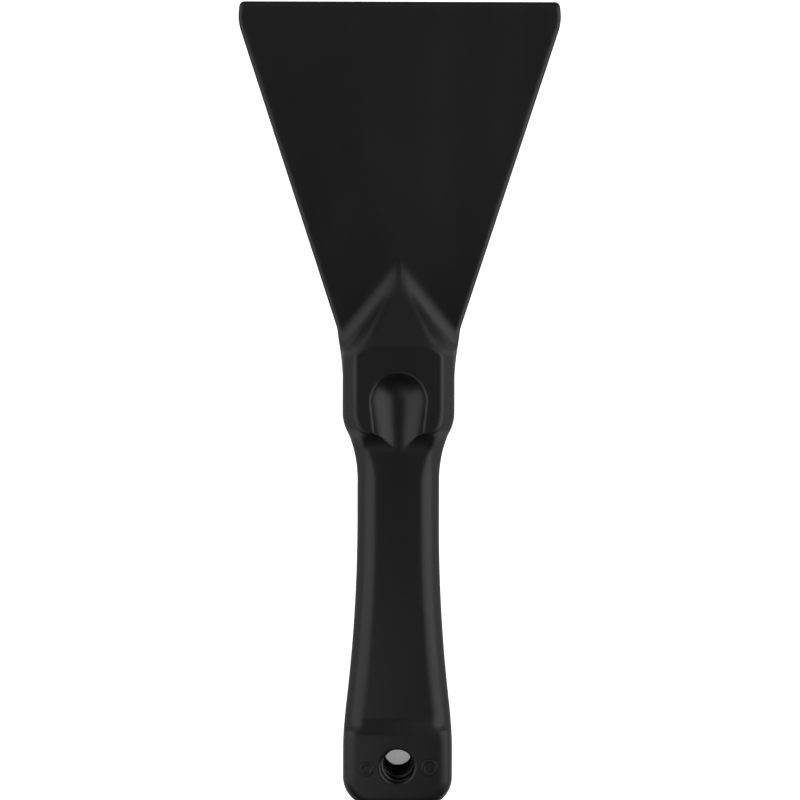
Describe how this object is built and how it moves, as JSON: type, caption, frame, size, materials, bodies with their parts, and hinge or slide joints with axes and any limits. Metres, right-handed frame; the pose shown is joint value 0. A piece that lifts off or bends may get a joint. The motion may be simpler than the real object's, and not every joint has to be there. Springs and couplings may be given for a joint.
{
  "type": "floor scraper",
  "caption": "Moulded floor scraper with a tapering flat blade, a thick neck block with a shallow finger rest, a chamfered grip and a threaded hole through the end of the handle.",
  "frame": {"origin": "under the middle of the tool's box, on the plane that the backs of the neck block and the end pad lie on", "axes": "+Y towards the scraping edge, +X across the blade, +Z out of the front, the side that has the finger rest"},
  "size_m": [0.102, 0.252, 0.0245],
  "materials": {
    "moulded_black": "injection-moulded black polypropylene, satin"
  },
  "bodies": {
    "root": {"scraper": "moulded_black"}
  },
  "joints": []
}
